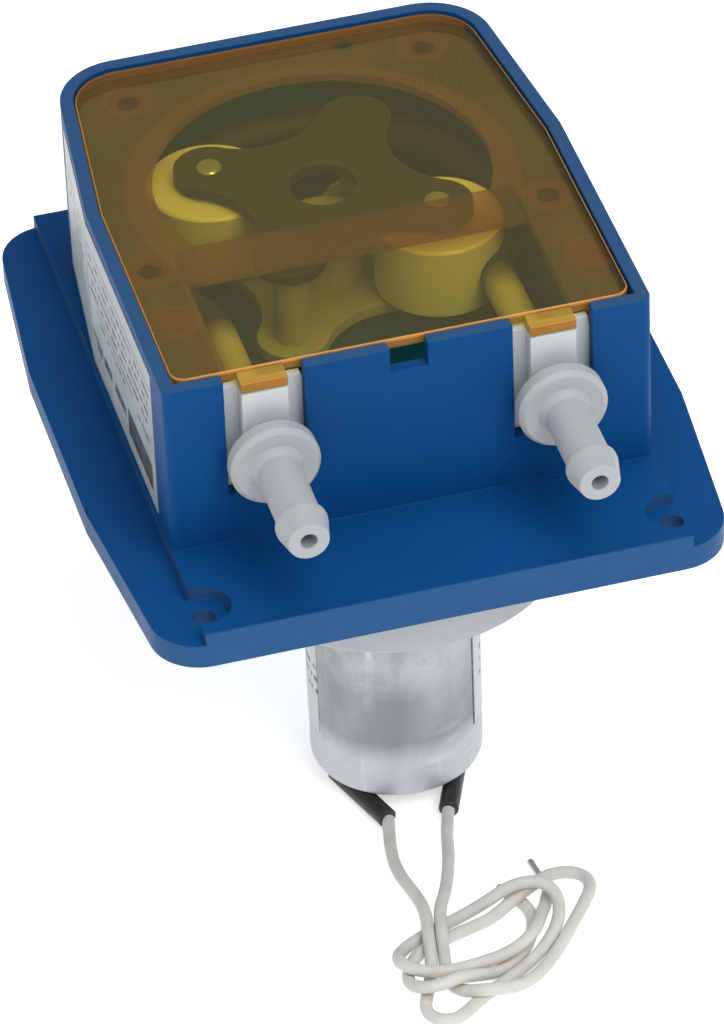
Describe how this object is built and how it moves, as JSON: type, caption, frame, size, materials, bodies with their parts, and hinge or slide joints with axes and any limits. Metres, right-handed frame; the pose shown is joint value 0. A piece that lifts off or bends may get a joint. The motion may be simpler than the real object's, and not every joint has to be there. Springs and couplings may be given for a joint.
{
  "type": "peristaltic pump",
  "caption": "Panel-mount peristaltic pump: a casing with a clear lid over a roller rotor and squeezed hose, barbed hose fittings in front, and a gear motor with lead wires below.",
  "frame": {"origin": "middle of the four mounting holes, in the plane of the plate's underside, where the panel's face is", "axes": "+Z points out of the panel towards the lid, +X to the right seen from the fittings' side, -Y is the side with the two hose fittings"},
  "size_m": [0.1192, 0.1693, 0.1179],
  "materials": {
    "casing_blue": "satin moulded plastic",
    "lid_amber": "clear tinted acrylic, polished",
    "cover_amber": "clear tinted acrylic",
    "fitting_grey": "fine moulded",
    "rotor_dark": "satin",
    "rotor_pale": "satin",
    "roller_white": "polished nylon",
    "tube_natural": "smooth",
    "steel": "ground",
    "bronze": "sintered",
    "gear_white": "moulded",
    "gearbox_grey": "fine moulded",
    "can_zinc": "zinc plated, mottled",
    "magnet_dark": "sintered",
    "core_steel": "stacked laminations",
    "copper": "enamelled copper",
    "carbon": "pressed",
    "lead_silicone": "matt silicone",
    "sleeve_black": "satin heat-shrink",
    "tinned": "tinned strands",
    "label_white": "printed film"
  },
  "bodies": {
    "casing": {"pump_body": "casing_blue", "race_cover": "cover_amber", "race_cover_screws": "steel", "fitting_left": "fitting_grey", "fitting_right": "fitting_grey", "pump_tube": "tube_natural", "shaft_bush": "bronze", "gearbox_housing": "gearbox_grey", "gearbox_cover": "gearbox_grey", "idler_pin": "steel", "gearbox_screws": "steel", "motor_can": "can_zinc", "motor_screws": "steel", "motor_end_cap": "carbon", "motor_bushes": "bronze", "motor_magnets": "magnet_dark", "motor_brushes": "carbon", "motor_terminals": "tinned", "sleeve_left": "sleeve_black", "sleeve_right": "sleeve_black", "lead_left": "lead_silicone", "lead_right": "lead_silicone", "leads_coil": "lead_silicone", "lead_tip_left": "tinned", "lead_tip_right": "tinned", "body_label": "label_white", "motor_label": "label_white"},
    "rotor": {"rotor_upper_plate": "rotor_dark", "rotor_lower_plate": "rotor_pale", "roller_pin_left": "steel", "roller_pin_right": "steel", "guide_post_left": "rotor_pale", "guide_post_right": "rotor_pale", "output_shaft": "steel", "output_gear": "gear_white"},
    "roller_left": {"roller_left": "roller_white"},
    "roller_right": {"roller_right": "roller_white"},
    "idler": {"idler_wheel": "gear_white", "idler_pinion": "steel"},
    "armature": {"motor_shaft": "steel", "motor_pinion": "bronze", "armature_core": "core_steel", "armature_windings": "copper", "commutator": "copper"},
    "lid": {"lid": "lid_amber"}
  },
  "joints": [
    {"name": "rotor_spin", "type": "hinge", "parent": "casing", "child": "rotor", "pos_m": [0, 0.0182, 0.0287], "axis": [0, 0, 1], "continuous": true, "deforming": ["pump_tube"]},
    {"name": "roller_right_spin", "type": "hinge", "parent": "rotor", "child": "roller_right", "pos_m": [0.01961, 0.00618, 0.0287], "axis": [0, 0, 1], "continuous": true},
    {"name": "roller_left_spin", "type": "hinge", "parent": "rotor", "child": "roller_left", "pos_m": [-0.01961, 0.03022, 0.0287], "axis": [0, 0, 1], "continuous": true},
    {"name": "idler_spin", "type": "hinge", "parent": "casing", "child": "idler", "pos_m": [0.00406, -0.0022, -0.008], "axis": [0, 0, 1], "continuous": true},
    {"name": "armature_spin", "type": "hinge", "parent": "casing", "child": "armature", "pos_m": [0, -0.0226, -0.04], "axis": [0, 0, 1], "continuous": true},
    {"name": "lid_lift", "type": "slide", "parent": "casing", "child": "lid", "axis": [0, 0, 1], "range_m": [0, 0.02]}
  ],
  "couplings": [
    {"joint": "roller_right_spin", "follows": "rotor_spin", "ratio": -2.811},
    {"joint": "roller_left_spin", "follows": "rotor_spin", "ratio": -2.811},
    {"joint": "idler_spin", "follows": "rotor_spin", "ratio": -3.3333},
    {"joint": "armature_spin", "follows": "rotor_spin", "ratio": 11.111}
  ]
}
